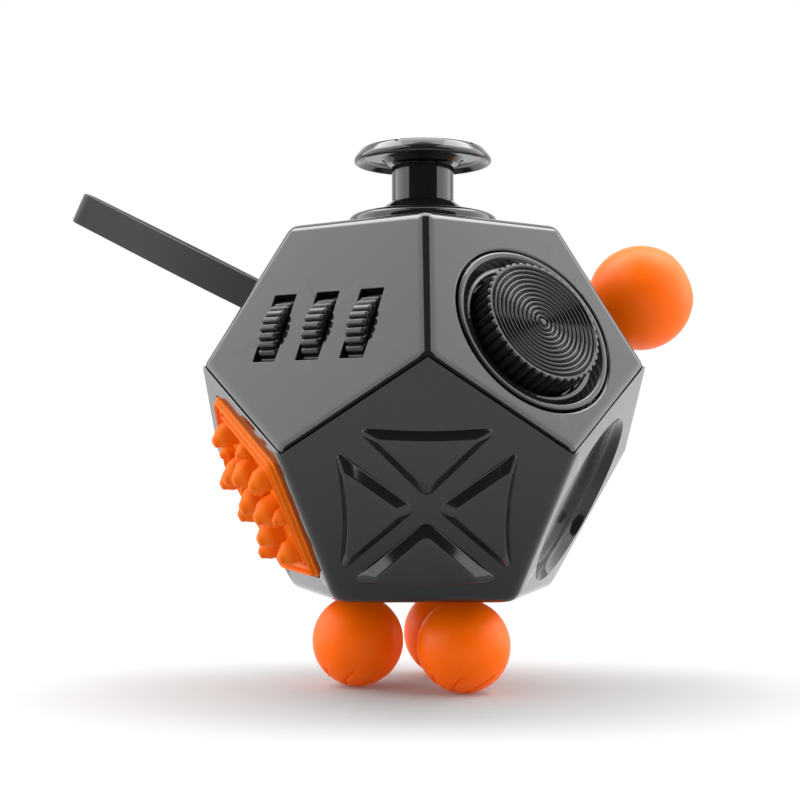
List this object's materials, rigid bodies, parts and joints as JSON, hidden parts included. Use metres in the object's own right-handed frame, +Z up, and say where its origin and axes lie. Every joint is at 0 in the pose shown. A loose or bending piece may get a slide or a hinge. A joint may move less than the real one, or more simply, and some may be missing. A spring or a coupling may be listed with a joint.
{
  "type": "fidget dodecahedron",
  "caption": "Palm-sized twelve-sided fidget toy with a thumb joystick, ribbed wheels, a knurled dial, spin balls, a spiked pad, a rocker, push buttons and a strap.",
  "frame": {"origin": "centre of the flat floor of the round gate recess, 0.3 mm deep, in the middle of the bottom face between the three feet balls", "axes": "+Z up through the joystick, -Y towards the front face with the X-shaped pads, +X to the right"},
  "size_m": [0.0975, 0.0653, 0.0791],
  "materials": {
    "gloss_shell": "polished",
    "dark_plastic": "satin",
    "strap_rubber": "satin",
    "orange_plastic": "satin",
    "orange_silicone": "satin",
    "inner_plastic": "moulded",
    "steel": "plain"
  },
  "bodies": {
    "root": {"upper_shell": "gloss_shell", "lower_shell": "gloss_shell", "joystick_collar": "gloss_shell", "dial_bezel": "gloss_shell", "roller_bezel": "gloss_shell", "side_ball_stem": "dark_plastic", "rocker_bezel": "dark_plastic", "strap_anchor": "strap_rubber", "spike_pad": "orange_silicone", "button_membrane": "orange_silicone", "joystick_housing": "inner_plastic", "wheel_frame": "inner_plastic", "spike_pad_retainer": "inner_plastic", "button_plate": "inner_plastic", "roller_socket": "inner_plastic", "joystick_spring": "steel", "joystick_screw_1": "steel", "joystick_screw_2": "steel", "wheel_axle": "steel", "wheel_screw_1": "steel", "wheel_screw_2": "steel", "wheel_detent_spring": "steel", "dial_cone_washer": "steel", "strap_anchor_pin": "steel", "side_ball_clip": "steel", "rocker_pin": "steel", "rocker_spring": "steel", "button_screw_1": "steel", "button_screw_2": "steel"},
    "joystick_gimbal": {"joystick_gimbal": "inner_plastic"},
    "joystick": {"joystick_stick": "gloss_shell", "joystick_cap": "gloss_shell", "joystick_pin": "steel"},
    "wheel_left": {"wheel_left": "dark_plastic"},
    "wheel_middle": {"wheel_middle": "dark_plastic"},
    "wheel_right": {"wheel_right": "dark_plastic"},
    "dial": {"dial_knob": "gloss_shell", "dial_retaining_washer": "steel", "dial_screw": "steel"},
    "strap": {"strap_loop": "strap_rubber"},
    "side_ball": {"side_ball": "orange_plastic"},
    "rocker": {"rocker": "gloss_shell"},
    "roller": {"roller_ball": "orange_plastic"},
    "foot_left": {"foot_ball_left": "orange_plastic", "foot_clip_left": "steel"},
    "foot_right": {"foot_ball_right": "orange_plastic", "foot_clip_right": "steel"},
    "foot_back": {"foot_ball_back": "orange_plastic", "foot_clip_back": "steel"},
    "button_centre": {"button_centre": "gloss_shell"},
    "button_upper_right": {"button_upper_right": "gloss_shell"},
    "button_upper_left": {"button_upper_left": "gloss_shell"},
    "button_lower_left": {"button_lower_left": "gloss_shell"},
    "button_lower_right": {"button_lower_right": "gloss_shell"}
  },
  "joints": [
    {"name": "joystick_tilt_x", "type": "hinge", "parent": "root", "child": "joystick_gimbal", "pos_m": [0, 0, 0.04975], "axis": [1, 0, 0], "range_deg": [-14, 14], "stiffness_Nm_per_rad": 0.03},
    {"name": "joystick_tilt_y", "type": "hinge", "parent": "joystick_gimbal", "child": "joystick", "pos_m": [0, 0, 0.04975], "axis": [0, 1, 0], "range_deg": [-14, 14], "stiffness_Nm_per_rad": 0.03},
    {"name": "wheel_left_spin", "type": "hinge", "parent": "root", "child": "wheel_left", "pos_m": [-0.01838, -0.01166, 0.03554], "axis": [0.809, -0.5878, 0], "continuous": true},
    {"name": "wheel_middle_spin", "type": "hinge", "parent": "root", "child": "wheel_middle", "pos_m": [-0.01227, -0.0161, 0.03554], "axis": [0.809, -0.5878, 0], "continuous": true},
    {"name": "wheel_right_spin", "type": "hinge", "parent": "root", "child": "wheel_right", "pos_m": [-0.00617, -0.02053, 0.03554], "axis": [0.809, -0.5878, 0], "continuous": true},
    {"name": "dial_spin", "type": "hinge", "parent": "root", "child": "dial", "pos_m": [0.01477, -0.01965, 0.03703], "axis": [0.5257, -0.7236, 0.4472], "continuous": true},
    {"name": "strap_flex", "type": "hinge", "parent": "root", "child": "strap", "pos_m": [-0.02265, 0.00736, 0.0428], "axis": [0.4253, -0.1382, 0.8944], "range_deg": [-35, 35], "stiffness_Nm_per_rad": 0.03},
    {"name": "side_ball_spin", "type": "hinge", "parent": "root", "child": "side_ball", "pos_m": [0.03405, 0.01106, 0.04432], "axis": [0.8507, 0.2764, 0.4472], "continuous": true},
    {"name": "foot_left_spin", "type": "hinge", "parent": "root", "child": "foot_left", "pos_m": [-0.00955, -0.001, -0.0071], "axis": [0, 0, 1], "continuous": true},
    {"name": "foot_right_spin", "type": "hinge", "parent": "root", "child": "foot_right", "pos_m": [0.00564, -0.00777, -0.0071], "axis": [0, 0, 1], "continuous": true},
    {"name": "foot_back_spin", "type": "hinge", "parent": "root", "child": "foot_back", "pos_m": [0.0039, 0.00877, -0.0071], "axis": [0, 0, 1], "continuous": true},
    {"name": "rocker_tilt", "type": "hinge", "parent": "root", "child": "rocker", "pos_m": [0, 0.02158, 0.03721], "axis": [-1, 0, 0], "range_deg": [0, 24]},
    {"name": "roller_spin", "type": "hinge", "parent": "root", "child": "roller", "pos_m": [0.01237, 0.01702, 0.0159], "axis": [-0.809, 0.5878, 0], "continuous": true},
    {"name": "button_centre_press", "type": "slide", "parent": "root", "child": "button_centre", "axis": [0.5257, -0.7236, 0.4472], "range_m": [0, 0.0015], "stiffness_N_per_m": 150},
    {"name": "button_upper_right_press", "type": "slide", "parent": "root", "child": "button_upper_right", "axis": [0.5257, -0.7236, 0.4472], "range_m": [0, 0.0015], "stiffness_N_per_m": 150},
    {"name": "button_upper_left_press", "type": "slide", "parent": "root", "child": "button_upper_left", "axis": [0.5257, -0.7236, 0.4472], "range_m": [0, 0.0015], "stiffness_N_per_m": 150},
    {"name": "button_lower_left_press", "type": "slide", "parent": "root", "child": "button_lower_left", "axis": [0.5257, -0.7236, 0.4472], "range_m": [0, 0.0015], "stiffness_N_per_m": 150},
    {"name": "button_lower_right_press", "type": "slide", "parent": "root", "child": "button_lower_right", "axis": [0.5257, -0.7236, 0.4472], "range_m": [0, 0.0015], "stiffness_N_per_m": 150}
  ]
}
